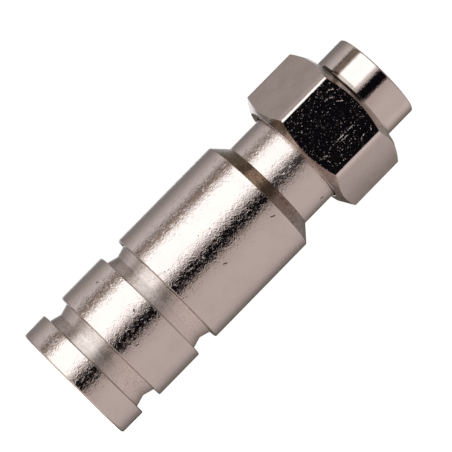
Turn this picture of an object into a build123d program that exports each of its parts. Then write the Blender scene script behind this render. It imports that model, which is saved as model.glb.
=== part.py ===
from build123d import *
import math
import os

# Coaxial compression connector: F type, male, with a captive pin, for 10.3 mm cable (RG-11 size).
# Millimetres. The origin is the centre of the tail face, where the cable goes in.
# +Z runs along the axis to the threaded nose. R is a radius.

# Cable bore and body shell, from the tail to the neck
CABLE_BORE_R = 5.65
CABLE_BORE_DEPTH = 10.4
CABLE_MOUTH_CHAMFER = 0.40
CHAMBER_STEP = 0.20
TAIL_RING_WALL = 1.68
TAIL_RING_LENGTH = 3.06
TAIL_EDGE_CHAMFER = 0.20
MIDDLE_RING_WALL = 1.65
MIDDLE_RING_LENGTH = 6.04
BARREL_WALL = 1.62
BARREL_LENGTH = 13.78
RING_EDGE_CHAMFER = 0.12
CONE_LENGTH = 1.52
NECK_WALL = 1.97
NECK_LENGTH = 6.55

# Crumple folds: two V-floored grooves that close up when the connector is compressed
FOLD_WIDTH = 2.52
FOLD_WALL = 0.45
FOLD_V_DEPTH = 0.36

# Mandrel, the post that goes between the cable's dielectric and its braid
DIELECTRIC_BORE_R = 3.68
DIELECTRIC_MOUTH_CHAMFER = 0.15
MANDREL_WALL = 0.40
MANDREL_SETBACK = 0.10
MANDREL_SEAT_LENGTH = 6.60
MANDREL_RAMP_LENGTH = 1.20
BARB_COUNT = 3
BARB_HEIGHT = 0.24
BARB_PITCH = 1.30

# Carrier room, the chamber in the mandrel's front where the pin carrier slides
ROOM_STEP = 0.32
ROOM_WALL = 1.00
ROOM_LENGTH = 8.10

# Contact pin, with a slotted socket for the cable's centre conductor
CONDUCTOR_BORE_R = 0.85
CONDUCTOR_BORE_DEPTH = 6.50
CONDUCTOR_MOUTH_CHAMFER = 0.25
SOCKET_WALL = 0.65
SOCKET_SETBACK = 0.20
SOCKET_NOSE_CHAMFER = 0.20
SLOT_COUNT = 4
SLOT_WIDTH = 0.20
SLOT_LENGTH = 4.60
PIN_R = 0.50
PIN_REACH = 6.70

# Pin carrier, the insulator that slides with the contact pin
CARRIER_WALL = 1.35
CARRIER_FRONT_WALL = 1.50
CARRIER_FLANGE_THICKNESS = 1.20
CARRIER_EDGE_CHAMFER = 0.20
SLIDE_CLEARANCE = 0.05

# Front ferrule, which holds the nut on and meets the port's end face
FERRULE_WALL = 0.75
FERRULE_SEAT_LENGTH = 5.40
FLANGE_OVERHANG = 0.55
FLANGE_THICKNESS = 1.00
FERRULE_EDGE_CHAMFER = 0.20

# Continuity spring, a dished washer that presses the nut's lip forward
SPRING_HEIGHT = 0.50
SPRING_THICKNESS = 0.18
SPRING_BORE_CLEARANCE = 0.07
SPRING_WIDTH = 1.15
SPRING_GAP = 0.03

# Nut seal, a square-cut rubber ring in a groove round the neck
SEAL_THICKNESS = 1.20
SEAL_WIDTH = 1.20
SEAL_SIDE_GAP = 0.08
SEAL_GROOVE_SETBACK = 0.35
SEAL_GAP = 0.04

# Coupling nut: 9/16 in hexagon, 3/8-32 thread
HEX_ACROSS_FLATS = 14.29
HEX_LENGTH = 8.25
HEX_CORNER_ROUNDING = 0.25
HEX_CHAMFER_INSET = 0.50
HEX_CHAMFER_ANGLE = 30.0
HEX_TURN = 3.2
NUT_OVERLAP = 2.20
NUT_NECK_CLEARANCE = 0.23
NUT_REAR_CHAMFER = 0.20
LIP_THICKNESS = 1.40
LIP_CLEARANCE = 0.10
NUT_END_PLAY = 0.05
THREAD_MAJOR_R = 4.78
THREAD_LENGTH = 7.00
THREAD_LEAD_IN = 0.15
THREAD_RELIEF = 0.22
NOSE_WALL = 0.57
NOSE_LENGTH = 4.15
NOSE_EDGE_CHAMFER = 0.28
NOSE_BASE_CHAMFER = 0.30

# Radii worked out from the bores, walls and clearances
chamber_r = CABLE_BORE_R - CHAMBER_STEP
tail_ring_r = CABLE_BORE_R + TAIL_RING_WALL
middle_ring_r = CABLE_BORE_R + MIDDLE_RING_WALL
fold_root_r = CABLE_BORE_R + FOLD_WALL
fold_shoulder_r = fold_root_r + FOLD_V_DEPTH
barrel_r = CABLE_BORE_R + BARREL_WALL
mandrel_r = DIELECTRIC_BORE_R + MANDREL_WALL
room_r = DIELECTRIC_BORE_R + ROOM_STEP
mandrel_seat_r = room_r + ROOM_WALL
socket_r = CONDUCTOR_BORE_R + SOCKET_WALL
carrier_r = socket_r + CARRIER_WALL
carrier_flange_r = room_r - SLIDE_CLEARANCE
ferrule_bore_r = carrier_r + SLIDE_CLEARANCE
ferrule_r = ferrule_bore_r + FERRULE_WALL
flange_r = ferrule_r + FLANGE_OVERHANG
neck_r = ferrule_r + NECK_WALL
counterbore_r = neck_r + NUT_NECK_CLEARANCE
lip_r = ferrule_r + LIP_CLEARANCE
seal_outer_r = counterbore_r - SEAL_GAP
seal_groove_r = seal_outer_r - SEAL_THICKNESS
spring_bore_r = ferrule_r + SPRING_BORE_CLEARANCE
hex_face_r = HEX_ACROSS_FLATS / 2 - HEX_CHAMFER_INSET
nose_r = THREAD_MAJOR_R + NOSE_WALL

# Heights along the axis, worked out from the lengths
middle_ring_z = TAIL_RING_LENGTH + FOLD_WIDTH
front_fold_z = middle_ring_z + MIDDLE_RING_LENGTH
barrel_z = front_fold_z + FOLD_WIDTH
cone_z = barrel_z + BARREL_LENGTH
neck_z = cone_z + CONE_LENGTH
neck_front_z = neck_z + NECK_LENGTH
seat_front_z = neck_front_z - FERRULE_SEAT_LENGTH
chamber_front_z = seat_front_z - MANDREL_SEAT_LENGTH
mandrel_rear_z = CABLE_BORE_DEPTH + MANDREL_SETBACK
room_rear_z = seat_front_z - ROOM_LENGTH
carrier_rear_z = room_rear_z + SLIDE_CLEARANCE
socket_rear_z = carrier_rear_z + SOCKET_SETBACK
carrier_front_z = seat_front_z + CARRIER_FRONT_WALL
pin_tip_z = carrier_front_z + PIN_REACH
seal_front_z = neck_front_z - SEAL_GROOVE_SETBACK - SEAL_SIDE_GAP
seal_rear_z = seal_front_z - SEAL_WIDTH
nut_rear_z = neck_front_z - NUT_OVERLAP
hex_front_z = nut_rear_z + HEX_LENGTH
nose_front_z = hex_front_z + NOSE_LENGTH
lip_rear_z = neck_front_z + SPRING_HEIGHT
lip_front_z = lip_rear_z + LIP_THICKNESS
flange_rear_z = lip_front_z + NUT_END_PLAY
flange_front_z = flange_rear_z + FLANGE_THICKNESS
thread_rear_z = nose_front_z - THREAD_LENGTH


def turned(*corners):
    """Turn a closed half-section about Z. Each corner is (radius, height)."""
    outline = Polyline(*[(radius, 0, height) for radius, height in corners], close=True)
    return revolve(make_face(outline), Axis.Z)


def ring(radius, rear_z, rear_chamfer, front_z, front_chamfer):
    """Corners of a plain cylinder with both its edges chamfered."""
    return [
        (radius - rear_chamfer, rear_z),
        (radius, rear_z + rear_chamfer),
        (radius, front_z - front_chamfer),
        (radius - front_chamfer, front_z),
    ]


def fold(rear_z):
    """Corners of a crumple fold's V floor between its two steep walls."""
    return [
        (fold_shoulder_r, rear_z),
        (fold_root_r, rear_z + FOLD_WIDTH / 2),
        (fold_shoulder_r, rear_z + FOLD_WIDTH),
    ]


def make_body_shell():
    """One turned piece: tail ring, fold, middle ring, fold, barrel, cone and neck."""
    seal_groove_front_z = seal_front_z + SEAL_SIDE_GAP
    seal_groove_rear_z = seal_rear_z - SEAL_SIDE_GAP
    outside = [
        (CABLE_BORE_R + CABLE_MOUTH_CHAMFER, 0),
        *ring(tail_ring_r, 0, TAIL_EDGE_CHAMFER, TAIL_RING_LENGTH, RING_EDGE_CHAMFER),
        *fold(TAIL_RING_LENGTH),
        *ring(middle_ring_r, middle_ring_z, RING_EDGE_CHAMFER, front_fold_z, RING_EDGE_CHAMFER),
        *fold(front_fold_z),
        (barrel_r - RING_EDGE_CHAMFER, barrel_z),
        (barrel_r, barrel_z + RING_EDGE_CHAMFER),
        (barrel_r, cone_z),
        (neck_r, neck_z),
        (neck_r, seal_groove_rear_z),
        (seal_groove_r, seal_groove_rear_z),
        (seal_groove_r, seal_groove_front_z),
        (neck_r, seal_groove_front_z),
        (neck_r, neck_front_z),
    ]
    inside = [
        (ferrule_r, neck_front_z),
        (ferrule_r, seat_front_z),
        (mandrel_seat_r, seat_front_z),
        (mandrel_seat_r, chamber_front_z),
        (chamber_r, chamber_front_z),
        (chamber_r, CABLE_BORE_DEPTH),
        (CABLE_BORE_R, CABLE_BORE_DEPTH),
        (CABLE_BORE_R, CABLE_MOUTH_CHAMFER),
    ]
    return turned(*outside, *inside)


def make_mandrel():
    """Thin barbed tube at the rear, carrier room at the front, pressed into the shell's seat."""
    barbs = []
    for index in range(BARB_COUNT):
        barb_rear_z = mandrel_rear_z + index * BARB_PITCH
        barbs.append((mandrel_r, barb_rear_z))
        barbs.append((mandrel_r + BARB_HEIGHT, barb_rear_z + BARB_PITCH))
    return turned(
        (DIELECTRIC_BORE_R + DIELECTRIC_MOUTH_CHAMFER, mandrel_rear_z),
        *barbs,
        (mandrel_r, mandrel_rear_z + BARB_COUNT * BARB_PITCH),
        (mandrel_r, room_rear_z - MANDREL_RAMP_LENGTH),
        (mandrel_seat_r, room_rear_z),
        (mandrel_seat_r, seat_front_z),
        (room_r, seat_front_z),
        (room_r, room_rear_z),
        (DIELECTRIC_BORE_R, room_rear_z),
        (DIELECTRIC_BORE_R, mandrel_rear_z + DIELECTRIC_MOUTH_CHAMFER),
    )


def make_front_ferrule():
    """Flanged tube pressed into the neck from the front, through the nut's lip."""
    return turned(
        (ferrule_bore_r, seat_front_z),
        (ferrule_r, seat_front_z),
        (ferrule_r, flange_rear_z),
        (flange_r, flange_rear_z),
        (flange_r, flange_front_z - FERRULE_EDGE_CHAMFER),
        (flange_r - FERRULE_EDGE_CHAMFER, flange_front_z),
        (ferrule_bore_r, flange_front_z),
    )


def make_continuity_spring():
    """Dished washer: its inner edge bears on the neck's end, its outer edge is nearest the lip."""
    outer_r = spring_bore_r + SPRING_WIDTH
    rise = SPRING_HEIGHT - SPRING_GAP - SPRING_THICKNESS
    return turned(
        (spring_bore_r, neck_front_z),
        (outer_r, neck_front_z + rise),
        (outer_r, neck_front_z + rise + SPRING_THICKNESS),
        (spring_bore_r, neck_front_z + SPRING_THICKNESS),
    )


def make_nut_seal():
    """Square-cut rubber ring that seals the neck to the nut's counterbore."""
    return turned(
        (seal_groove_r, seal_rear_z),
        (seal_outer_r, seal_rear_z),
        (seal_outer_r, seal_front_z),
        (seal_groove_r, seal_front_z),
    )


def make_coupling_nut():
    """Hexagon with both ends chamfered, threaded nose, and the lip that the ferrule traps."""
    corner_r = HEX_ACROSS_FLATS / 2 / math.cos(math.radians(30))
    chamfer_z = (corner_r - hex_face_r) * math.tan(math.radians(HEX_CHAMFER_ANGLE))
    section = RegularPolygon(HEX_ACROSS_FLATS / 2, 6, major_radius=False, rotation=HEX_TURN)
    section = fillet(section.vertices(), HEX_CORNER_ROUNDING)
    hexagon = Pos(0, 0, nut_rear_z) * extrude(section, HEX_LENGTH)
    chamfered_ends = turned(
        (0, nut_rear_z),
        (hex_face_r, nut_rear_z),
        (corner_r, nut_rear_z + chamfer_z),
        (corner_r, hex_front_z - chamfer_z),
        (hex_face_r, hex_front_z),
        (0, hex_front_z),
    )
    nose = turned(
        (0, hex_front_z),
        (nose_r + NOSE_BASE_CHAMFER, hex_front_z),
        (nose_r, hex_front_z + NOSE_BASE_CHAMFER),
        (nose_r, nose_front_z - NOSE_EDGE_CHAMFER),
        (nose_r - NOSE_EDGE_CHAMFER, nose_front_z),
        (0, nose_front_z),
    )
    hollow = turned(
        (0, nut_rear_z),
        (counterbore_r + NUT_REAR_CHAMFER, nut_rear_z),
        (counterbore_r, nut_rear_z + NUT_REAR_CHAMFER),
        (counterbore_r, lip_rear_z),
        (lip_r, lip_rear_z),
        (lip_r, lip_front_z),
        (THREAD_MAJOR_R + THREAD_RELIEF, lip_front_z),
        (THREAD_MAJOR_R + THREAD_RELIEF, thread_rear_z),
        (THREAD_MAJOR_R, thread_rear_z),
        (THREAD_MAJOR_R, nose_front_z - THREAD_LEAD_IN),
        (THREAD_MAJOR_R + THREAD_LEAD_IN, nose_front_z),
        (0, nose_front_z),
    )
    return (hexagon & chamfered_ends) + nose - hollow


def make_pin_carrier():
    """Flanged insulator that guides the contact pin in the mandrel and the ferrule."""
    return turned(
        (socket_r, carrier_rear_z),
        (carrier_flange_r - CARRIER_EDGE_CHAMFER, carrier_rear_z),
        (carrier_flange_r, carrier_rear_z + CARRIER_EDGE_CHAMFER),
        (carrier_flange_r, carrier_rear_z + CARRIER_FLANGE_THICKNESS),
        (carrier_r, carrier_rear_z + CARRIER_FLANGE_THICKNESS),
        (carrier_r, carrier_front_z - CARRIER_EDGE_CHAMFER),
        (carrier_r - CARRIER_EDGE_CHAMFER, carrier_front_z),
        (PIN_R, carrier_front_z),
        (PIN_R, seat_front_z),
        (socket_r, seat_front_z),
    )


def make_contact_pin():
    """Solid pin with a domed end, turned in one with its slotted socket."""
    contact = turned(
        (0, socket_rear_z + CONDUCTOR_BORE_DEPTH),
        (CONDUCTOR_BORE_R, socket_rear_z + CONDUCTOR_BORE_DEPTH),
        (CONDUCTOR_BORE_R, socket_rear_z + CONDUCTOR_MOUTH_CHAMFER),
        (CONDUCTOR_BORE_R + CONDUCTOR_MOUTH_CHAMFER, socket_rear_z),
        (socket_r, socket_rear_z),
        (socket_r, seat_front_z - SOCKET_NOSE_CHAMFER),
        (socket_r - SOCKET_NOSE_CHAMFER, seat_front_z),
        (PIN_R, seat_front_z),
        (PIN_R, pin_tip_z - PIN_R),
        (0, pin_tip_z - PIN_R),
    )
    contact += Pos(0, 0, pin_tip_z - PIN_R) * Sphere(PIN_R)
    slot = Box(socket_r + SOCKET_WALL, SLOT_WIDTH, SLOT_LENGTH, align=(Align.MIN, Align.CENTER, Align.MIN))
    for index in range(SLOT_COUNT):
        turn = Rot(0, 0, index * 360 / SLOT_COUNT)
        contact -= turn * Pos(0, 0, socket_rear_z) * slot
    return contact


makers = {
    "body_shell": make_body_shell,
    "mandrel": make_mandrel,
    "front_ferrule": make_front_ferrule,
    "continuity_spring": make_continuity_spring,
    "nut_seal": make_nut_seal,
    "coupling_nut": make_coupling_nut,
    "pin_carrier": make_pin_carrier,
    "contact_pin": make_contact_pin,
}

os.makedirs("parts", exist_ok=True)
for name, maker in makers.items():
    export_step(maker(), f"parts/{name}.step")
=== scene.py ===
import math

import bmesh
import bpy
from mathutils import Matrix, Vector


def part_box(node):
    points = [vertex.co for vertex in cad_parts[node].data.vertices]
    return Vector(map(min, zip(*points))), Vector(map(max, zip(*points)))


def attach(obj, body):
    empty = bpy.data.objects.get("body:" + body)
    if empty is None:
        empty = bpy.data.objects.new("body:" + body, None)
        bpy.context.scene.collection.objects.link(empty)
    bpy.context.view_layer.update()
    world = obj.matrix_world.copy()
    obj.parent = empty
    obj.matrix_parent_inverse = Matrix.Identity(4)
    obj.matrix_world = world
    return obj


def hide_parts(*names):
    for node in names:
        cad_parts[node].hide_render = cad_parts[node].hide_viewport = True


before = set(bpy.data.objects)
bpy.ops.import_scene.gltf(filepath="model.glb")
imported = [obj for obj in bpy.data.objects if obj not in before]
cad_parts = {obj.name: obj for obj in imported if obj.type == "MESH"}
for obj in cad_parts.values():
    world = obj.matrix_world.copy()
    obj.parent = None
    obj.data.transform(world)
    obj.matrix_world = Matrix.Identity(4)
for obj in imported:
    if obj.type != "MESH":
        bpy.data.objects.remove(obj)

bl_info = {
    "name": "Coaxial Compression Connector",
    "version": (1, 0, 0),
    "blender": (4, 5, 0),
    "location": "View3D > Sidebar > Connector",
    "description": "Turned shell, hexagon nut, thread and plated finishes round the packed frame",
    "category": "Object",
}

MM = 0.001
TURN_STEPS = 160
ARC_STEPS = 4
THREAD_STEPS = 72
SMOOTH_ANGLE = math.radians(35)
# Heights in mm from the tail face: where each stretch starts and ends, and the front ends.
FOLDS = ((3.06, 5.58), (11.62, 14.14))
CONE = (27.92, 29.44)
SEAL_GROOVE = (34.28, 35.64)
SHELL_END = 35.99
HEXAGON = (33.79, 42.04)
NOSE_END = 46.19
# Soft edge in mm at the ends of a band that runs round the axis.
SOFT = 0.05
# How strong each effect on the nickel is. Depths are in mm, and the others are shares or roughness.
CLOUD_FILM = 0.10
CLOUD_ROUGHNESS = 0.08
STREAK_GAIN = 4.6
STREAK_SHIFT = -0.60
STREAKS_ON_FOLDS = 0.25
TURNED_ROUGHNESS = 0.20
TURNED_RELIEF = 0.2
TOOL_DEPTH = 0.05
DOT_ROUGHNESS = 0.18
PIT_ROUGHNESS = 0.3
SCRATCH_ROUGHNESS = 0.28
SCRATCH_DEPTH = 0.02
NICK_DEPTH = 0.03
NICK_AND_SHADE_DARKNESS = 0.3
# Each mark: degrees round the axis, height, radius there, turn in degrees, length and width, in mm.
SHELL_NICKS = (
    (20.9, 27.0, 7.27, 27, 0.66, 0.17),
    (20.0, 20.0, 7.27, 27, 0.60, 0.17),
    (15.0, 7.6, 7.30, 20, 0.45, 0.16),
    (-6.7, 9.9, 7.30, -40, 0.32, 0.18),
    (-51.0, 9.4, 7.30, 50, 0.45, 0.14),
    (-11.0, 15.0, 7.27, 0, 0.14, 0.10),
    (-9.5, 21.5, 7.27, 60, 0.12, 0.10),
    (-12.0, 20.1, 7.27, 10, 0.12, 0.09),
    (62.0, 32.4, 5.62, 30, 0.45, 0.20),
)
# Painted shade: dark strips round the nose's base, where the hexagon's front face shades it.
NUT_BASE_SHADE = (
    (-50.0, 42.44, 5.40, 90, 2.5, 0.50),
    (-30.0, 42.33, 5.45, 90, 1.8, 0.24),
    (-5.0, 42.36, 5.45, 90, 3.2, 0.36),
)
NUT_SCRATCHES = (
    (14.9, 38.4, 7.25, 0, 2.9, 0.09),
    (17.4, 38.2, 7.30, 2, 1.3, 0.08),
    (16.7, 35.2, 7.30, 22, 1.1, 0.09),
    (-14.0, 39.9, 7.25, 18, 1.0, 0.08),
    (-17.0, 40.8, 7.25, 35, 0.9, 0.08),
    (-6.0, 40.6, 7.15, 40, 1.1, 0.08),
    (26.5, 39.5, 7.5, -15, 1.0, 0.09),
    (26.5, 40.8, 7.5, -40, 0.6, 0.09),
)
# Painted shade and painted reflection: brown patches that darken the plating by height and angle round the
# axis.
# Each painted shade patch: lowest and highest height in mm, first and last degree round the axis, soft edge,
# depth.
SHELL_PAINTED_SHADE = (
    (27.95, 29.42, -110, -23, 4, 0.9),
    (27.95, 29.42, -24, -7, 4, 0.02),
    (27.95, 29.42, -6, 10, 5, 1.0),
    (27.95, 29.42, 12, 40, 8, 0.12),
    (3.1, 4.32, -110, -34, 6, 0.38),
    (4.32, 5.54, -44, -32, 4, 0.28),
    (3.1, 4.32, -37, -13, 5, 0.13),
    (4.32, 5.54, -36, -10, 6, 0.17),
    (3.1, 4.32, -6, 7, 5, 0.40),
    (4.32, 5.54, -7, 7, 5, 0.58),
    (11.66, 12.88, -110, -35, 6, 0.42),
    (12.88, 14.1, -44, -30, 4, 0.18),
    (11.66, 12.88, -34, 6, 8, 0.30),
    (12.88, 14.1, -38, -13, 5, 0.13),
    (12.88, 14.1, -9, 7, 5, 0.52),
)
# The cone's worn belt: its heights in mm, the degrees between which it gets a painted amber reflection, and
# its soft edge.
CONE_BELT_AND_REFLECTION = (27.95, 29.42, -110, 0, 14)
# On the nut, painted shade and painted reflection: darker flats by angle round the axis, dark strips on the
# front chamfer and at the nose's base, and a darker nose on one side.
NUT_PAINTED_SHADE = (
    (33.7, 42.03, -88, -31, 3, 0.27),
    (33.7, 42.03, 74, 140, 28, 0.62),
    (41.77, 41.99, -110, -28, 4, 0.45),
    (41.77, 41.99, -47, -29, 3, 1.2),
    (41.84, 41.99, -28, 6, 3, 0.55),
    (42.16, 42.46, -50, 2, 4, 1.6),
    (42.46, 42.88, -42, -6, 4, 0.5),
    (42.60, 46.10, -88, -42, 4, 0.14),
    (42.60, 46.10, -40, -32, 2, 0.5),
)
# Painted highlights, paler patches on a hexagon corner and on the nose: lowest and highest height in mm,
# first and last degree, soft edge.
NUT_HIGHLIGHTS = (
    (34.6, 41.3, 31.5, 38.5, 1),
    (42.6, 46.1, 52, 90, 6),
)
# The stage, in metres.
FLOOR_RADIUS = 2.5
FLOOR_MARGIN = 1.5
ROOM_RADIUS = 0.6
ROOM_HEIGHT = 1.2
ROOM_STRENGTH = 2.2
# Linear tones of the room that the plating mirrors. The walls go by degrees from the camera towards +X.
ROOM_ROOF = (0.36, 0.34, 0.32)
ROOM_GROUND = (0.95, 0.88, 0.80)
ROOM_WALLS = (
    (-180, (0.14, 0.12, 0.10)),
    (-176, (0.14, 0.12, 0.10)),
    (-173, (1.20, 1.22, 1.26)),
    (-166, (1.20, 1.22, 1.26)),
    (-160, (0.28, 0.27, 0.27)),
    (-146, (0.28, 0.27, 0.27)),
    (-128, (0.36, 0.35, 0.345)),
    (-114, (0.59, 0.565, 0.55)),
    (-103, (0.77, 0.765, 0.78)),
    (-91, (0.86, 0.85, 0.86)),
    (-87, (0.16, 0.15, 0.14)),
    (-83, (0.16, 0.15, 0.14)),
    (-79, (0.42, 0.355, 0.30)),
    (-69, (0.42, 0.35, 0.30)),
    (-64, (1.85, 1.98, 2.04)),
    (-17, (1.85, 1.98, 2.04)),
    (-13, (0.98, 0.95, 0.94)),
    (-5, (0.62, 0.58, 0.57)),
    (-3, (0.004, 0.004, 0.006)),
    (20.5, (0.004, 0.004, 0.006)),
    (24, (0.62, 0.56, 0.54)),
    (42, (0.72, 0.67, 0.66)),
    (56, (0.76, 0.72, 0.71)),
    (100, (0.74, 0.69, 0.68)),
    (111, (0.72, 0.67, 0.66)),
    (123, (0.64, 0.59, 0.58)),
    (130, (0.52, 0.48, 0.47)),
    (139, (0.34, 0.31, 0.30)),
    (150, (0.25, 0.22, 0.20)),
    (166, (0.14, 0.12, 0.10)),
    (180, (0.14, 0.12, 0.10)),
)
# Each lamp: name, degrees from the camera towards +X, distance and height in metres, its own width and
# height in metres, watts.
LAMPS = (
    ("soft_panel", -43.5, 0.42, 0.10, 0.38, 0.50, 1.2),
    ("top_panel", 25.0, 0.03, 0.35, 0.14, 0.14, 1.2),
)
# The camera's place in metres, and its pan, tilt and roll in degrees.
CAMERA_PLACE = (0, -0.295, 0.0038)
CAMERA_TURN = (-0.03565, 3.78579, 44.429)
CAMERA_LENS = 221.295
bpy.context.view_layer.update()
NUT_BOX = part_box("coupling_nut")


# Sizes and colours that a user may change

def length(name, description, millimetres):
    """A length property with its default given in millimetres."""
    return bpy.props.FloatProperty(
        name=name,
        description=description,
        default=millimetres * MM,
        min=0.0,
        precision=5,
        subtype="DISTANCE",
        unit="LENGTH",
    )


def colour(name, description, value):
    """A linear colour property."""
    return bpy.props.FloatVectorProperty(
        name=name, description=description, default=value, size=3, min=0.0, max=1.0, subtype="COLOR"
    )


class ConnectorShellSizes(bpy.types.PropertyGroup):
    tail_ring: length("Tail ring radius", "Outside of the ring at the cable end", 7.33)
    middle_ring: length("Middle ring radius", "Outside of the ring between the two folds", 7.30)
    barrel: length("Barrel radius", "Outside of the long barrel", 7.27)
    neck: length("Neck radius", "Outside of the neck that the nut turns on", 5.62)
    fold_shoulder: length("Fold shoulder radius", "Edge of each crumple fold", 6.46)
    fold_root: length("Fold root radius", "Middle of each crumple fold", 6.10)
    cable_bore: length("Cable bore radius", "Hole that takes the cable's jacket", 5.65)
    edge_round: length("Edge rounding", "Rounding of the rings' edges", 0.16)


class ConnectorNutSizes(bpy.types.PropertyGroup):
    across_flats: length("Across flats", "Width of the hexagon across its flats", 14.29)
    corner_round: length("Corner rounding", "Rounding of the hexagon's long edges", 0.5)
    turned_by: bpy.props.FloatProperty(
        name="Turned by",
        description="Angle of the hexagon round the axis",
        default=math.radians(3.2),
        subtype="ANGLE",
        unit="ROTATION",
    )
    face_radius: length("Face radius", "Circle where each end face meets its chamfer", 6.645)
    nose: length("Nose radius", "Outside of the round nose", 5.35)
    thread_major: length("Thread major radius", "Bottom of the thread's grooves", 4.78)
    thread_minor: length("Thread minor radius", "Crest of the thread", 4.36)
    thread_pitch: length("Thread pitch", "Distance from one thread to the next", 0.79375)


class ConnectorColours(bpy.types.PropertyGroup):
    nickel: colour("Nickel", "Plated brass of shell, nut, mandrel and ferrule", (0.60, 0.51, 0.475))
    # Tarnish is the colour of the cloudy film, of the painted shade and painted reflection patches, and of
    # the nicks.
    tarnish_and_shade: colour("Tarnish", "Brown film in corners and on edges", (0.12, 0.085, 0.055))
    # Amber is painted reflection on one side of the cone.
    amber_reflection: colour("Amber", "Yellowish film on the cone", (0.60, 0.455, 0.335))
    # Fresh cut is the paler metal of the folds and the colour of the painted highlights.
    fresh_cut_and_highlight: colour("Fresh cut", "Paler metal in the folds and in rubbed places", (0.685, 0.58, 0.54))
    bronze: colour("Spring bronze", "Continuity spring", (0.64, 0.43, 0.22))
    rubber: colour("Seal rubber", "Square ring in the nut", (0.018, 0.018, 0.02))
    plastic: colour("Carrier plastic", "Insulator round the pin", (0.78, 0.76, 0.70))
    tin: colour("Tin plate", "Contact pin", (0.72, 0.70, 0.66))
    floor: colour("Floor", "Pale studio floor", (0.80, 0.80, 0.80))


# Modelling helpers

def start_fresh():
    """Leaves edit mode and deselects every object."""
    if bpy.context.object and bpy.context.object.mode != "OBJECT":
        bpy.ops.object.mode_set(mode="OBJECT")
    bpy.ops.object.select_all(action="DESELECT")


def name_piece(name):
    """Names the active object and its mesh."""
    piece = bpy.context.object
    piece.name = name
    piece.data.name = name
    return piece


def rounded(corners):
    """Turns (radius, height, rounding) corners in mm into profile points with each rounding as an arc."""
    points = []
    for i, (r, z, rounding) in enumerate(corners):
        if rounding == 0:
            points.append((r, z))
            continue
        here = Vector((r, z))
        before = Vector(corners[i - 1][:2]) - here
        after = Vector(corners[(i + 1) % len(corners)][:2]) - here
        half = before.angle(after) / 2
        cut = min(rounding / math.tan(half), before.length * 0.49, after.length * 0.49)
        radius = cut * math.tan(half)
        middle = here + (before.normalized() + after.normalized()).normalized() * radius / math.sin(half)
        first = here + before.normalized() * cut - middle
        last = here + after.normalized() * cut - middle
        for step in range(ARC_STEPS + 1):
            spoke = first.slerp(last, step / ARC_STEPS) * radius
            points.append(tuple(middle + spoke))
    return points


def turn(name, corners):
    """Draws a circle out ring by ring along a closed profile in mm and joins its two ends."""
    points = rounded(corners)
    start_fresh()
    radius, height = points[0]
    bpy.ops.mesh.primitive_circle_add(
        vertices=TURN_STEPS, radius=radius * MM, location=(0, 0, height * MM)
    )
    piece = name_piece(name)
    bpy.ops.object.transform_apply(location=True)
    bpy.ops.object.mode_set(mode="EDIT")
    bpy.ops.mesh.select_all(action="SELECT")
    for (last_radius, last_height), (radius, height) in zip(points, points[1:]):
        step = (0, 0, (height - last_height) * MM)
        bpy.ops.mesh.extrude_edges_move(TRANSFORM_OT_translate={"value": step})
        grow = radius / last_radius
        bpy.ops.transform.resize(value=(grow, grow, 1), center_override=(0, 0, height * MM))
    bpy.ops.mesh.select_all(action="DESELECT")
    bpy.ops.mesh.select_non_manifold()
    bpy.ops.mesh.bridge_edge_loops()
    bpy.ops.mesh.select_all(action="SELECT")
    bpy.ops.mesh.normals_make_consistent(inside=False)
    bpy.ops.object.mode_set(mode="OBJECT")
    return piece


def smooth_finish(piece):
    """Shades a piece smooth with its wide faces kept true."""
    start_fresh()
    piece.select_set(True)
    bpy.context.view_layer.objects.active = piece
    bpy.ops.object.shade_smooth_by_angle(angle=SMOOTH_ANGLE)
    bpy.ops.object.modifier_add(type="WEIGHTED_NORMAL")
    weighted = piece.modifiers[-1]
    weighted.keep_sharp = True
    bpy.ops.object.modifier_apply(modifier=weighted.name)


def dress(piece, material, body, replaced):
    """Gives a finished piece its material, its body and the node that it stands for."""
    piece.data.materials.clear()
    piece.data.materials.append(material)
    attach(piece, body)
    if replaced:
        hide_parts(replaced)


# Shader helpers

def add_node(tree, kind, **values):
    """Adds a node and sets its plain attributes and its unlinked inputs."""
    node = tree.nodes.new(kind)
    for key, value in values.items():
        if hasattr(node, key):
            setattr(node, key, value)
        else:
            node.inputs[key.replace("_", " ")].default_value = value
    return node


def maths(tree, operation, first, second=None, third=None):
    """Adds a maths node and returns its result."""
    node = tree.nodes.new("ShaderNodeMath")
    node.operation = operation
    for socket, value in zip(node.inputs, (first, second, third)):
        if value is None:
            continue
        if isinstance(value, (int, float)):
            socket.default_value = value
        else:
            tree.links.new(value, socket)
    return node.outputs[0]


def mixed(tree, first, second, factor):
    """A colour between a first one, plain or linked, and a plain second one."""
    mix = tree.nodes.new("ShaderNodeMix")
    mix.data_type = "RGBA"
    if isinstance(first, bpy.types.NodeSocket):
        tree.links.new(first, mix.inputs["A"])
    else:
        mix.inputs["A"].default_value = (*first, 1)
    mix.inputs["B"].default_value = (*second, 1)
    tree.links.new(factor, mix.inputs["Factor"])
    return mix.outputs["Result"]


def ramp(tree, value, first, last, start=0.0, end=1.0, kind="SMOOTHSTEP"):
    """Goes from start to end while value goes from first to last."""
    node = tree.nodes.new("ShaderNodeMapRange")
    node.interpolation_type = kind
    node.inputs["From Min"].default_value = first
    node.inputs["From Max"].default_value = last
    node.inputs["To Min"].default_value = start
    node.inputs["To Max"].default_value = end
    tree.links.new(value, node.inputs["Value"])
    return node.outputs[0]


def band(tree, value, low, high, soft):
    """A mask that is 1 where value lies between low and high, with soft ends."""
    rise = ramp(tree, value, low - soft, low + soft)
    fall = ramp(tree, value, high - soft, high + soft, 1.0, 0.0)
    return maths(tree, "MULTIPLY", rise, fall)


def patch(tree, height, degrees, low, high, left, right, soft):
    """A mask over a patch between two heights in mm and two angles in degrees."""
    tall = band(tree, height, low * MM, high * MM, SOFT * MM)
    return maths(tree, "MULTIPLY", tall, band(tree, degrees, left, right, soft))


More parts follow.
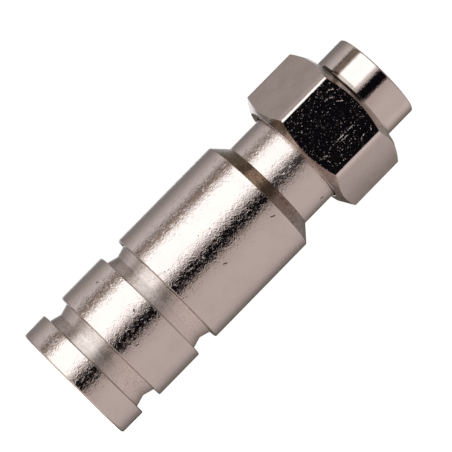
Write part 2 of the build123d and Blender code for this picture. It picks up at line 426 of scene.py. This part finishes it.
def new_group(name, inputs, outputs):
    """Starts a shader node group with named inputs and outputs and returns it with its two end nodes."""
    group = bpy.data.node_groups.new(name, "ShaderNodeTree")
    for label, value in inputs:
        socket = group.interface.new_socket(label, in_out="INPUT", socket_type="NodeSocketFloat")
        socket.default_value = value
    for label in outputs:
        group.interface.new_socket(label, in_out="OUTPUT", socket_type="NodeSocketFloat")
    return group, group.nodes.new("NodeGroupInput"), group.nodes.new("NodeGroupOutput")


def object_parts(tree):
    """Adds the Object coordinates and returns them whole with their X, Y and Z."""
    place = tree.nodes.new("ShaderNodeTexCoord")
    split = tree.nodes.new("ShaderNodeSeparateXYZ")
    tree.links.new(place.outputs["Object"], split.inputs[0])
    return place.outputs["Object"], split.outputs["X"], split.outputs["Y"], split.outputs["Z"]


def angle_round(tree, x, y):
    """The angle round the axis in radians, 0 at the front and growing towards +X."""
    return maths(tree, "ARCTAN2", x, maths(tree, "MULTIPLY", y, -1.0))


def plating_grain_group():
    """Tumbled plating: fine peening, its finer share and a slow change of tone."""
    name = "Plating grain"
    if name in bpy.data.node_groups:
        return bpy.data.node_groups[name]
    group, given, result = new_group(name, [("Grain scale", 2200.0), ("Fine scale", 6000.0)],
                                     ["Height", "Fine", "Cloud"])
    place = group.nodes.new("ShaderNodeTexCoord")
    for label, socket in (("Height", "Grain scale"), ("Fine", "Fine scale")):
        noise = add_node(group, "ShaderNodeTexNoise", Detail=1.0, Roughness=0.5, Distortion=1.2)
        group.links.new(place.outputs["Object"], noise.inputs["Vector"])
        group.links.new(given.outputs[socket], noise.inputs["Scale"])
        crease = maths(group, "ABSOLUTE", maths(group, "MULTIPLY_ADD", noise.outputs["Fac"], 2.0, -1.0))
        group.links.new(crease, result.inputs[label])
    cloud = add_node(group, "ShaderNodeTexNoise", Scale=420.0, Detail=3.0, Roughness=0.6)
    group.links.new(place.outputs["Object"], cloud.inputs["Vector"])
    group.links.new(cloud.outputs["Fac"], result.inputs["Cloud"])
    return group


def specks_group():
    """Small scattered dimples of uneven depth."""
    name = "Dimple specks"
    if name in bpy.data.node_groups:
        return bpy.data.node_groups[name]
    group, given, result = new_group(name, [("Scale", 3600.0), ("Radius", 0.30), ("Share", 0.85)],
                                     ["Speck", "Dot"])
    place = group.nodes.new("ShaderNodeTexCoord")
    cells = add_node(group, "ShaderNodeTexVoronoi", Randomness=1.0)
    group.links.new(place.outputs["Object"], cells.inputs["Vector"])
    group.links.new(given.outputs["Scale"], cells.inputs["Scale"])
    off_centre = maths(group, "DIVIDE", cells.outputs["Distance"], given.outputs["Radius"])
    near = maths(group, "MAXIMUM", maths(group, "SUBTRACT", 1.0, off_centre), 0.0)
    lot = group.nodes.new("ShaderNodeSeparateColor")
    group.links.new(cells.outputs["Color"], lot.inputs[0])
    kept = maths(group, "LESS_THAN", lot.outputs[0], given.outputs["Share"])
    deep = maths(group, "POWER", lot.outputs[1], 1.6)
    near = maths(group, "MULTIPLY", near, kept)
    group.links.new(maths(group, "MULTIPLY", near, deep), result.inputs["Speck"])
    group.links.new(maths(group, "MINIMUM", maths(group, "MULTIPLY", near, 2.0), 1.0), result.inputs["Dot"])
    return group


def mark_group():
    """One short mark, such as a nicked spot, a scratch or a strip of painted shade, placed by angle and
    height.
    """
    name = "Surface mark"
    if name in bpy.data.node_groups:
        return bpy.data.node_groups[name]
    inputs = [("Angle", 0.0), ("Height", 0.0), ("Radius", 0.007), ("Turn", 0.0), ("Length", 0.0006),
              ("Width", 0.00015)]
    group, given, result = new_group(name, inputs, ["Mark"])
    x, y, z = object_parts(group)[1:]
    around = maths(group, "SUBTRACT", angle_round(group, x, y), given.outputs["Angle"])
    across = maths(group, "MULTIPLY", around, given.outputs["Radius"])
    along = maths(group, "SUBTRACT", z, given.outputs["Height"])
    cosine = maths(group, "COSINE", given.outputs["Turn"])
    sine = maths(group, "SINE", given.outputs["Turn"])
    run = maths(group, "ADD", maths(group, "MULTIPLY", along, cosine), maths(group, "MULTIPLY", across, sine))
    off = maths(group, "SUBTRACT", maths(group, "MULTIPLY", across, cosine),
                maths(group, "MULTIPLY", along, sine))
    run = maths(group, "DIVIDE", maths(group, "ABSOLUTE", run), given.outputs["Length"])
    off = maths(group, "DIVIDE", maths(group, "ABSOLUTE", off), given.outputs["Width"])
    inside = maths(group, "SUBTRACT", 1.0, maths(group, "MAXIMUM", run, off))
    inside = maths(group, "MINIMUM", maths(group, "MAXIMUM", maths(group, "MULTIPLY", inside, 3.0), 0.0), 1.0)
    group.links.new(inside, result.inputs["Mark"])
    return group


def turning_lines_group():
    """Tool marks that run round the axis."""
    name = "Turning lines"
    if name in bpy.data.node_groups:
        return bpy.data.node_groups[name]
    group, given, result = new_group(name, [("Line scale", 9000.0)], ["Height"])
    x, y, z = object_parts(group)[1:]
    along = group.nodes.new("ShaderNodeCombineXYZ")
    stretch = 0.03
    group.links.new(maths(group, "MULTIPLY", x, stretch), along.inputs["X"])
    group.links.new(maths(group, "MULTIPLY", y, stretch), along.inputs["Y"])
    group.links.new(z, along.inputs["Z"])
    lines = add_node(group, "ShaderNodeTexNoise", Detail=3.0, Roughness=0.65)
    group.links.new(along.outputs[0], lines.inputs["Vector"])
    group.links.new(given.outputs["Line scale"], lines.inputs["Scale"])
    group.links.new(lines.outputs["Fac"], result.inputs["Height"])
    return group


def use_group(tree, group, **values):
    """Places a node group and sets its named inputs."""
    node = tree.nodes.new("ShaderNodeGroup")
    node.node_tree = group
    for key, value in values.items():
        node.inputs[key.replace("_", " ")].default_value = value
    return node


def strongest(tree, masks):
    """The strongest of several masks."""
    top = masks[0]
    for mask in masks[1:]:
        top = maths(tree, "MAXIMUM", top, mask)
    return top


def marks_mask(tree, marks):
    """All the marks in a list of (degrees, height, radius, turn, length, width), in mm and degrees."""
    masks = []
    for degrees, height, radius, turn_by, long, wide in marks:
        node = use_group(
            tree,
            mark_group(),
            Angle=math.radians(degrees),
            Height=height * MM,
            Radius=radius * MM,
            Turn=math.radians(turn_by),
            Length=long / 2 * MM,
            Width=wide / 2 * MM,
        )
        masks.append(node.outputs["Mark"])
    return strongest(tree, masks)


def nickel_material(name, folds=(), cone=None, crease_shade=(), marks=(), scratches=(), painted_shade=(), painted_highlights=(),
                    calm=(0, 0, 1, 0), grain=0.021, fine=0.2, specks=0.0, lines=0.0, roughness=0.10):
    """Nickel plate, with heights and relief in mm. The folds and the worn cone have turning lines, and one
    side of the cone's belt gets a painted amber reflection. The crease shade is painted shade along the
    folds' edges, the painted shade patches are brown painted shade and painted reflection, the painted
    highlights are paler patches, marks are dark nicks and, on the nut, strips of painted shade at the nose's
    base, and scratches and specks catch the light. Calm gives two heights, the share of the grain kept
    between them and the roughness added there."""
    colours = bpy.context.scene.connector_colours
    material = bpy.data.materials.new(name)
    material.use_nodes = True
    tree = material.node_tree
    shader = tree.nodes["Principled BSDF"]
    shader.inputs["Metallic"].default_value = 1.0
    grain_node = use_group(tree, plating_grain_group())
    line_node = use_group(tree, turning_lines_group())
    x, y, height = object_parts(tree)[1:]
    degrees = maths(tree, "MULTIPLY", angle_round(tree, x, y), 180 / math.pi)

    stain_and_shade = ramp(tree, grain_node.outputs["Cloud"], 0.45, 0.85, 0.0, CLOUD_FILM, "LINEAR")
    # Painted shade in the creases at the folds' edges.
    for at, wide, depth in crease_shade:
        mask = band(tree, height, (at - wide / 2) * MM, (at + wide / 2) * MM, 0.04 * MM)
        stain_and_shade = maths(tree, "ADD", stain_and_shade, maths(tree, "MULTIPLY", mask, depth))
    # Painted shade and painted reflection: brown patches by height and angle round the axis.
    for low, high, left, right, soft, depth in painted_shade:
        mask = patch(tree, height, degrees, low, high, left, right, soft)
        uneven = maths(tree, "MULTIPLY_ADD", grain_node.outputs["Cloud"], 0.8 * depth, 0.6 * depth)
        stain_and_shade = maths(tree, "ADD", stain_and_shade, maths(tree, "MULTIPLY", mask, uneven))
    bare_metal = colours.nickel
    if folds:
        low, high, left, right, soft = cone
        worn = band(tree, height, low * MM, high * MM, SOFT * MM)
        folded = strongest(tree, [band(tree, height, low * MM, high * MM, 0.03 * MM) for low, high in folds])
        streaks = maths(tree, "MULTIPLY_ADD", grain_node.outputs["Fine"], STREAK_GAIN, STREAK_SHIFT)
        share = maths(tree, "MULTIPLY_ADD", folded, STREAKS_ON_FOLDS, worn)
        stain_and_shade = maths(tree, "MULTIPLY_ADD", share, streaks, stain_and_shade)
        tone = mixed(tree, colours.nickel, colours.fresh_cut_and_highlight, folded)
        # Painted reflection: amber on one side of the cone's belt.
        amber_reflection = maths(tree, "MULTIPLY", worn, band(tree, degrees, left, right, soft))
        bare_metal = mixed(tree, tone, colours.amber_reflection, amber_reflection)
    # Painted highlights: paler patches by height and angle round the axis.
    if painted_highlights:
        highlighted = strongest(tree, [patch(tree, height, degrees, *place) for place in painted_highlights])
        bare_metal = mixed(tree, bare_metal, colours.fresh_cut_and_highlight, highlighted)
    # Tarnish brown over the metal: a cloudy film, painted shade and painted reflection.
    tone = mixed(tree, bare_metal, colours.tarnish_and_shade, stain_and_shade)

    smoothest = roughness - CLOUD_ROUGHNESS / 2
    rough = maths(tree, "MULTIPLY_ADD", grain_node.outputs["Cloud"], CLOUD_ROUGHNESS, smoothest)
    relief = maths(tree, "MULTIPLY_ADD", grain_node.outputs["Fine"], fine, grain_node.outputs["Height"])
    relief = maths(tree, "MULTIPLY", relief, grain)
    low, high, grain_kept, roughness_added = calm
    still = band(tree, height, low * MM, high * MM, SOFT * MM)
    relief = maths(tree, "MULTIPLY", relief, maths(tree, "MULTIPLY_ADD", still, grain_kept - 1, 1.0))
    rough = maths(tree, "MULTIPLY_ADD", still, roughness_added, rough)
    if folds:
        turned = maths(tree, "MAXIMUM", folded, worn)
        rough = maths(tree, "MULTIPLY_ADD", turned, TURNED_ROUGHNESS, rough)
        kept = maths(tree, "MULTIPLY_ADD", turned, TURNED_RELIEF - 1, 1.0)
        relief = maths(tree, "MULTIPLY", relief, kept)
        cuts = maths(tree, "MULTIPLY", line_node.outputs["Height"], turned)
        relief = maths(tree, "MULTIPLY_ADD", cuts, TOOL_DEPTH, relief)
    if lines:
        relief = maths(tree, "MULTIPLY_ADD", line_node.outputs["Height"], lines, relief)
    if specks:
        dimples = use_group(tree, specks_group())
        bare = maths(tree, "SUBTRACT", 1.0, still)
        dots = maths(tree, "MULTIPLY", dimples.outputs["Dot"], bare)
        rough = maths(tree, "MULTIPLY_ADD", dots, DOT_ROUGHNESS, rough)
        pits = maths(tree, "MULTIPLY", dimples.outputs["Speck"], bare)
        rough = maths(tree, "MULTIPLY_ADD", pits, PIT_ROUGHNESS, rough)
        relief = maths(tree, "MULTIPLY_ADD", pits, -specks, relief)
    if scratches:
        broken = ramp(tree, grain_node.outputs["Height"], 0.10, 0.35, kind="LINEAR")
        cut = maths(tree, "MULTIPLY", marks_mask(tree, scratches), broken)
        rough = maths(tree, "MULTIPLY_ADD", cut, SCRATCH_ROUGHNESS, rough)
        relief = maths(tree, "MULTIPLY_ADD", cut, -SCRATCH_DEPTH, relief)
    # Dark nicks on the shell, and on the nut strips of painted shade at the nose's base.
    if marks:
        nick_and_shade = marks_mask(tree, marks)
        relief = maths(tree, "MULTIPLY_ADD", nick_and_shade, -NICK_DEPTH, relief)
        tone = mixed(tree, tone, [value * NICK_AND_SHADE_DARKNESS for value in colours.tarnish_and_shade], nick_and_shade)
    tree.links.new(tone, shader.inputs["Base Color"])
    tree.links.new(rough, shader.inputs["Roughness"])
    bump = tree.nodes.new("ShaderNodeBump")
    bump.inputs["Strength"].default_value = 1.0
    bump.inputs["Distance"].default_value = MM
    tree.links.new(relief, bump.inputs["Height"])
    tree.links.new(bump.outputs["Normal"], shader.inputs["Normal"])
    return material


def plain_material(name, base, metallic, roughness, scale, relief, variation):
    """A moulded, stamped or plated finish with fine relief and a slow change of tone."""
    material = bpy.data.materials.new(name)
    material.use_nodes = True
    tree = material.node_tree
    shader = tree.nodes["Principled BSDF"]
    shader.inputs["Metallic"].default_value = metallic
    grain_node = use_group(tree, plating_grain_group(), Grain_scale=scale)
    darker = [value * (1 - variation) for value in base]
    tone = mixed(tree, base, darker, grain_node.outputs["Cloud"])
    tree.links.new(tone, shader.inputs["Base Color"])
    rough = maths(tree, "MULTIPLY_ADD", grain_node.outputs["Cloud"], 0.12, roughness - 0.06)
    tree.links.new(rough, shader.inputs["Roughness"])
    bump = tree.nodes.new("ShaderNodeBump")
    bump.inputs["Distance"].default_value = relief
    tree.links.new(grain_node.outputs["Height"], bump.inputs["Height"])
    tree.links.new(bump.outputs["Normal"], shader.inputs["Normal"])
    return material


# Operators

class CONNECTOR_OT_shell(bpy.types.Operator):
    """Turn the shell with its two crumple folds, cone, neck and seal groove"""

    bl_idname = "connector.shell"
    bl_label = "Turned shell"
    bl_options = {"REGISTER", "UNDO"}

    def execute(self, context):
        sizes = context.scene.connector_shell
        tail, middle, barrel = sizes.tail_ring / MM, sizes.middle_ring / MM, sizes.barrel / MM
        neck, shoulder, root = sizes.neck / MM, sizes.fold_shoulder / MM, sizes.fold_root / MM
        bore, edge = sizes.cable_bore / MM, sizes.edge_round / MM
        outside = [(tail, 0.0, 0.26)]
        for before, after, (low, high) in zip((tail, middle), (middle, barrel), FOLDS):
            outside += [
                (before, low, edge),
                (shoulder, low, 0.04),
                (root, (low + high) / 2, 0.14),
                (shoulder, high, 0.04),
                (after, high, edge),
            ]
        groove_root = 4.61
        outside += [
            (barrel, CONE[0], 0.12),
            (neck, CONE[1], 0.08),
            (neck, SEAL_GROOVE[0], 0.05),
            (groove_root, SEAL_GROOVE[0], 0.05),
            (groove_root, SEAL_GROOVE[1], 0.05),
            (neck, SEAL_GROOVE[1], 0.05),
            (neck, SHELL_END, 0.08),
        ]
        front_hole, seat, chamber = 3.65, 5.0, 5.45
        seat_end, seat_start, chamber_start, lead_in = 30.59, 23.99, 10.4, 0.4
        inside = [
            (front_hole, SHELL_END, 0.05),
            (front_hole, seat_end, 0),
            (seat, seat_end, 0),
            (seat, seat_start, 0.04),
            (chamber, seat_start, 0),
            (chamber, chamber_start, 0.03),
            (bore, chamber_start, 0.03),
            (bore, lead_in, 0.1),
            (bore + lead_in, 0.0, 0.06),
        ]
        piece = turn("turned_shell", outside + inside)
        smooth_finish(piece)
        # Painted shade in the creases where each fold meets its rings.
        crease_shade = []
        for low, high in FOLDS:
            crease_shade += [(low, 0.1, 0.3), (high, 0.06, 0.3)]
        material = nickel_material(
            "nickel_plate_shell",
            folds=[(low + 0.06, high - 0.06) for low, high in FOLDS],
            cone=CONE_BELT_AND_REFLECTION,
            crease_shade=crease_shade,
            painted_shade=SHELL_PAINTED_SHADE,
            marks=SHELL_NICKS,
            calm=(29.5, 34.2, 1.2, 0.09),
        )
        dress(piece, material, "connector_body", "body_shell")
        return {"FINISHED"}


class CONNECTOR_OT_nut(bpy.types.Operator):
    """Turn the nut's blank and mill its six flats with their chamfered ends"""

    bl_idname = "connector.nut"
    bl_label = "Hexagon nut"
    bl_options = {"REGISTER", "UNDO"}

    def execute(self, context):
        sizes = context.scene.connector_nut
        flat, nose, face = sizes.across_flats / 2 / MM, sizes.nose / MM, sizes.face_radius / MM
        major = sizes.thread_major / MM
        blank, neck_hole, relief, ferrule_hole, lead_in = 8.4, 5.85, 5.0, 3.75, 0.15
        thread_start, inner_face, flange_back = 39.19, 37.89, 36.49
        rise = (blank - face) * math.tan(math.radians(30))
        corners = [
            (neck_hole, HEXAGON[0], 0.12),
            (face, HEXAGON[0], 0.12),
            (blank, HEXAGON[0] + rise, 0),
            (blank, HEXAGON[1] - rise, 0),
            (face, HEXAGON[1], 0.12),
            (nose, HEXAGON[1], 0.6),
            (nose, NOSE_END, 0.26),
            (major + lead_in, NOSE_END, 0.05),
            (major, NOSE_END - lead_in, 0.03),
            (major, thread_start, 0.03),
            (relief, thread_start, 0.03),
            (relief, inner_face, 0.03),
            (ferrule_hole, inner_face, 0.04),
            (ferrule_hole, flange_back, 0.04),
            (neck_hole, flange_back, 0.05),
        ]
        piece = turn("hexagon_nut", corners)
        start_fresh()
        bpy.ops.mesh.primitive_cylinder_add(
            vertices=6,
            radius=flat / math.cos(math.radians(30)) * MM,
            depth=30 * MM,
            location=(0, 0, 40 * MM),
            rotation=(0, 0, sizes.turned_by + math.radians(30)),
        )
        flats = name_piece("nut_flats")
        bpy.ops.object.transform_apply(location=True, rotation=True)
        bpy.ops.object.mode_set(mode="EDIT")
        mesh = bmesh.from_edit_mesh(flats.data)
        bpy.ops.mesh.select_mode(type="EDGE")
        bpy.ops.mesh.select_all(action="DESELECT")
        for side in mesh.edges:
            run = side.verts[0].co - side.verts[1].co
            side.select_set(abs(run.z) > 20 * MM)
        bmesh.update_edit_mesh(flats.data)
        bpy.ops.mesh.bevel(
            offset_type="OFFSET",
            offset=sizes.corner_round * math.tan(math.radians(30)),
            segments=6,
            affect="EDGES",
        )
        bpy.ops.object.mode_set(mode="OBJECT")
        start_fresh()
        piece.select_set(True)
        context.view_layer.objects.active = piece
        bpy.ops.object.modifier_add(type="BOOLEAN")
        mill = piece.modifiers[-1]
        mill.operation = "INTERSECT"
        mill.solver = "EXACT"
        mill.object = flats
        bpy.ops.object.modifier_apply(modifier=mill.name)
        bpy.data.objects.remove(flats)
        smooth_finish(piece)
        material = nickel_material(
            "nickel_plate_nut",
            painted_shade=NUT_PAINTED_SHADE,
            painted_highlights=NUT_HIGHLIGHTS,
            marks=NUT_BASE_SHADE,
            scratches=NUT_SCRATCHES,
            calm=(42.1, 46.3, 0.5, 0),
            grain=0.011,
            specks=0.0055,
            roughness=0.08,
        )
        dress(piece, material, "nut", "coupling_nut")
        return {"FINISHED"}


class CONNECTOR_OT_thread(bpy.types.Operator):
    """Wind the fine thread inside the nut's nose"""

    bl_idname = "connector.thread"
    bl_label = "Nut thread"
    bl_options = {"REGISTER", "UNDO"}

    def execute(self, context):
        sizes = context.scene.connector_nut
        pitch, major, minor = sizes.thread_pitch, sizes.thread_major, sizes.thread_minor
        turns = 8
        half_foot, half_crest = pitch * 0.46, pitch * 0.07
        foot_depth, from_end = 0.03 * MM, 0.2 * MM
        start = NUT_BOX[1][2] - from_end - turns * pitch - half_foot
        start_fresh()
        bpy.ops.mesh.primitive_plane_add(size=pitch, location=(major, 0, start))
        ridge = name_piece("nut_thread")
        bpy.ops.object.transform_apply(location=True)
        bpy.ops.object.mode_set(mode="EDIT")
        mesh = bmesh.from_edit_mesh(ridge.data)
        section = [
            (major + foot_depth, start - half_foot),
            (major + foot_depth, start + half_foot),
            (minor, start + half_crest),
            (minor, start - half_crest),
        ]
        for vertex, (radius, height) in zip(mesh.faces[:][0].verts, section):
            vertex.co = Vector((radius, 0, height))
        bmesh.update_edit_mesh(ridge.data)
        bpy.ops.object.mode_set(mode="OBJECT")
        bpy.ops.object.modifier_add(type="SCREW")
        wind = ridge.modifiers[-1]
        wind.angle = 2 * math.pi
        wind.screw_offset = pitch
        wind.iterations = turns
        wind.steps = THREAD_STEPS
        wind.render_steps = THREAD_STEPS
        bpy.ops.object.modifier_apply(modifier=wind.name)
        bpy.ops.object.mode_set(mode="EDIT")
        bpy.ops.mesh.select_all(action="SELECT")
        bpy.ops.mesh.remove_doubles(threshold=0.000001)
        bpy.ops.mesh.normals_make_consistent(inside=False)
        bpy.ops.object.mode_set(mode="OBJECT")
        smooth_finish(ridge)
        material = nickel_material("nickel_plate_thread", grain=0.004)
        dress(ridge, material, "nut", None)
        return {"FINISHED"}


class CONNECTOR_OT_finishes(bpy.types.Operator):
    """Give the inner pieces their plated, moulded and stamped finishes"""

    bl_idname = "connector.finishes"
    bl_label = "Inner finishes"
    bl_options = {"REGISTER", "UNDO"}

    def execute(self, context):
        colours = context.scene.connector_colours
        finishes = {
            "mandrel": nickel_material("nickel_plate_mandrel", grain=0.004, lines=0.008),
            "front_ferrule": nickel_material("nickel_plate_ferrule", grain=0.004, lines=0.008),
            "continuity_spring": plain_material(
                "spring_bronze", colours.bronze, 1.0, 0.32, 3000.0, 0.000006, 0.25
            ),
            "nut_seal": plain_material("seal_rubber", colours.rubber, 0.0, 0.6, 2500.0, 0.00001, 0.3),
            "pin_carrier": plain_material(
                "carrier_plastic", colours.plastic, 0.0, 0.42, 1800.0, 0.000008, 0.12
            ),
            "contact_pin": plain_material("tin_plate", colours.tin, 1.0, 0.28, 5000.0, 0.000004, 0.2),
        }
        for node, material in finishes.items():
            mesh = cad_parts[node].data
            mesh.materials.clear()
            mesh.materials.append(material)
        return {"FINISHED"}


class CONNECTOR_OT_stage(bpy.types.Operator):
    """Set the pale floor, the white panel, the dark card, the camera and the light"""

    bl_idname = "connector.stage"
    bl_label = "Studio stage"
    bl_options = {"REGISTER", "UNDO"}

    def execute(self, context):
        colours = context.scene.connector_colours
        self.set_floor(colours)
        self.set_surround()
        self.set_lamps()
        self.set_world(context)
        self.set_camera(context)
        context.scene.view_settings.view_transform = "Standard"
        return {"FINISHED"}

    def set_floor(self, colours):
        """A round pale floor, lifted to white for the camera but still shaded by the part."""
        start_fresh()
        below = (0, 0, -0.02 * MM)
        bpy.ops.mesh.primitive_circle_add(
            vertices=96, radius=FLOOR_RADIUS, fill_type="NGON", location=below
        )
        floor = name_piece("studio_floor")
        bpy.ops.object.mode_set(mode="EDIT")
        bpy.ops.mesh.select_all(action="SELECT")
        bpy.ops.mesh.inset(thickness=FLOOR_MARGIN)
        bpy.ops.object.mode_set(mode="OBJECT")
        material = bpy.data.materials.new("floor_paper")
        material.use_nodes = True
        tree = material.node_tree
        shader = tree.nodes["Principled BSDF"]
        shader.inputs["Base Color"].default_value = (*colours.floor, 1)
        shader.inputs["Roughness"].default_value = 0.9
        shader.inputs["Specular IOR Level"].default_value = 0.0
        shader.inputs["Emission Color"].default_value = (1, 1, 1, 1)
        ray = tree.nodes.new("ShaderNodeLightPath")
        lift = maths(tree, "MULTIPLY", ray.outputs["Is Camera Ray"], 0.5)
        tree.links.new(lift, shader.inputs["Emission Strength"])
        side = tree.nodes.new("ShaderNodeNewGeometry")
        tree.links.new(maths(tree, "SUBTRACT", 1.0, side.outputs["Backfacing"]), shader.inputs["Alpha"])
        floor.data.materials.append(material)
        floor.visible_glossy = False

    def set_surround(self):
        """The studio room that the plating mirrors: white panel, dark card, warm walls and grey roof."""
        start_fresh()
        bpy.ops.mesh.primitive_cylinder_add(
            vertices=128, radius=ROOM_RADIUS, depth=ROOM_HEIGHT, end_fill_type="NGON"
        )
        room = name_piece("studio_room")
        bpy.ops.object.mode_set(mode="EDIT")
        bpy.ops.mesh.select_all(action="SELECT")
        bpy.ops.mesh.subdivide(number_cuts=1)
        bpy.ops.mesh.normals_make_consistent(inside=True)
        bpy.ops.object.mode_set(mode="OBJECT")
        room.data.materials.append(self.room_material())
        room.visible_camera = False
        room.visible_diffuse = False
        room.visible_shadow = False
        room.visible_transmission = False

    def room_material(self):
        """Paint that changes with the direction round the part and with height."""
        material = bpy.data.materials.new("room_paint")
        material.use_nodes = True
        tree = material.node_tree
        tree.nodes.remove(tree.nodes["Principled BSDF"])
        x, y, z = object_parts(tree)[1:]
        angle = angle_round(tree, x, y)
        walls = tree.nodes.new("ShaderNodeValToRGB")
        stops = walls.color_ramp.elements
        while len(stops) > 1:
            stops.remove(stops[-1])
        for i, (degrees, tone) in enumerate(ROOM_WALLS):
            spot = degrees / 360 + 0.5
            stop = stops[0] if i == 0 else stops.new(spot)
            stop.position = spot
            stop.color = (*self.dimmed(tone), 1)
        tree.links.new(maths(tree, "MULTIPLY_ADD", angle, 0.5 / math.pi, 0.5), walls.inputs[0])
        squares = maths(tree, "ADD", maths(tree, "POWER", x, 2.0), maths(tree, "POWER", y, 2.0))
        slope = maths(tree, "ARCTAN2", z, maths(tree, "SQRT", squares))
        # The roof's border is at 36 to 58 degrees, and 16 degrees lower behind the part.
        soft_start, soft_end, drop = math.radians(36), math.radians(58), math.radians(16)
        turned_away = maths(tree, "ABSOLUTE", angle)
        behind = ramp(tree, turned_away, math.radians(115), math.radians(145), 0.0, drop)
        above = ramp(tree, maths(tree, "ADD", slope, behind), soft_start, soft_end)
        below = ramp(tree, slope, -soft_start, -soft_end)
        roofed = mixed(tree, walls.outputs["Color"], self.dimmed(ROOM_ROOF), above)
        glow = tree.nodes.new("ShaderNodeEmission")
        glow.inputs["Strength"].default_value = ROOM_STRENGTH
        tree.links.new(mixed(tree, roofed, self.dimmed(ROOM_GROUND), below), glow.inputs["Color"])
        tree.links.new(glow.outputs[0], tree.nodes["Material Output"].inputs["Surface"])
        return material

    def dimmed(self, tone):
        """A room tone brought under 1 for the shader's colour, which the room's strength makes up for."""
        return [value / ROOM_STRENGTH for value in tone]

    def set_lamps(self):
        """A soft panel on the side of the bright band and one above that lights the nut's inside."""
        for name, degrees, away, height, wide, tall, power in LAMPS:
            start_fresh()
            angle = math.radians(degrees)
            place = Vector((math.sin(angle) * away, -math.cos(angle) * away, height))
            bpy.ops.object.light_add(type="AREA", location=place)
            lamp = bpy.context.object
            lamp.name = name
            lamp.data.shape = "RECTANGLE"
            lamp.data.size = wide
            lamp.data.size_y = tall
            lamp.data.energy = power
            lamp.rotation_euler = (Vector((0, 0, 0.03)) - place).to_track_quat("-Z", "Y").to_euler()
            lamp.visible_camera = False
            lamp.visible_glossy = False

    def set_world(self, context):
        """Even pale surroundings that the camera sees as white."""
        world = bpy.data.worlds.new("studio_world")
        context.scene.world = world
        world.use_nodes = True
        tree = world.node_tree
        sky = tree.nodes["Background"]
        sky.inputs["Color"].default_value = (0.80, 0.79, 0.78, 1)
        ray = tree.nodes.new("ShaderNodeLightPath")
        white = maths(tree, "MULTIPLY_ADD", ray.outputs["Is Camera Ray"], 0.3, 1.0)
        tree.links.new(white, sky.inputs["Strength"])

    def set_camera(self, context):
        """The photograph's view: low, from the front, with the part leaning to the upper right."""
        bpy.ops.object.camera_add(location=CAMERA_PLACE)
        camera = bpy.context.object
        camera.name = "photo_camera"
        pan, tilt, roll = [math.radians(degrees) for degrees in CAMERA_TURN]
        ahead = Vector((math.sin(pan) * math.cos(tilt), math.cos(pan) * math.cos(tilt), math.sin(tilt)))
        level = ahead.cross(Vector((0, 0, 1))).normalized()
        upright = level.cross(ahead)
        right = level * math.cos(roll) + upright * math.sin(roll)
        up = upright * math.cos(roll) - level * math.sin(roll)
        camera.rotation_euler = Matrix((right, up, -ahead)).transposed().to_euler()
        camera.data.lens = CAMERA_LENS
        camera.data.sensor_width = 36.0
        camera.data.clip_start = 0.01
        context.scene.camera = camera


class CONNECTOR_PT_panel(bpy.types.Panel):
    """Lists the steps that build the connector"""

    bl_label = "Coaxial connector"
    bl_idname = "CONNECTOR_PT_panel"
    bl_space_type = "VIEW_3D"
    bl_region_type = "UI"
    bl_category = "Connector"

    def draw(self, context):
        scene = context.scene
        for operator in OPERATORS:
            self.layout.operator(operator.bl_idname)
        for group in (scene.connector_shell, scene.connector_nut, scene.connector_colours):
            box = self.layout.box()
            for name in group.__annotations__:
                box.prop(group, name)


OPERATORS = (
    CONNECTOR_OT_shell,
    CONNECTOR_OT_nut,
    CONNECTOR_OT_thread,
    CONNECTOR_OT_finishes,
    CONNECTOR_OT_stage,
)
GROUPS = (ConnectorShellSizes, ConnectorNutSizes, ConnectorColours)


def register():
    for item in GROUPS + OPERATORS + (CONNECTOR_PT_panel,):
        bpy.utils.register_class(item)
    bpy.types.Scene.connector_shell = bpy.props.PointerProperty(type=ConnectorShellSizes)
    bpy.types.Scene.connector_nut = bpy.props.PointerProperty(type=ConnectorNutSizes)
    bpy.types.Scene.connector_colours = bpy.props.PointerProperty(type=ConnectorColours)


def unregister():
    del bpy.types.Scene.connector_colours
    del bpy.types.Scene.connector_nut
    del bpy.types.Scene.connector_shell
    for item in reversed(GROUPS + OPERATORS + (CONNECTOR_PT_panel,)):
        bpy.utils.unregister_class(item)


def main():
    """Builds every piece and the stage."""
    register()
    bpy.ops.connector.shell()
    bpy.ops.connector.nut()
    bpy.ops.connector.thread()
    bpy.ops.connector.finishes()
    bpy.ops.connector.stage()


if __name__ == "__main__":
    main()
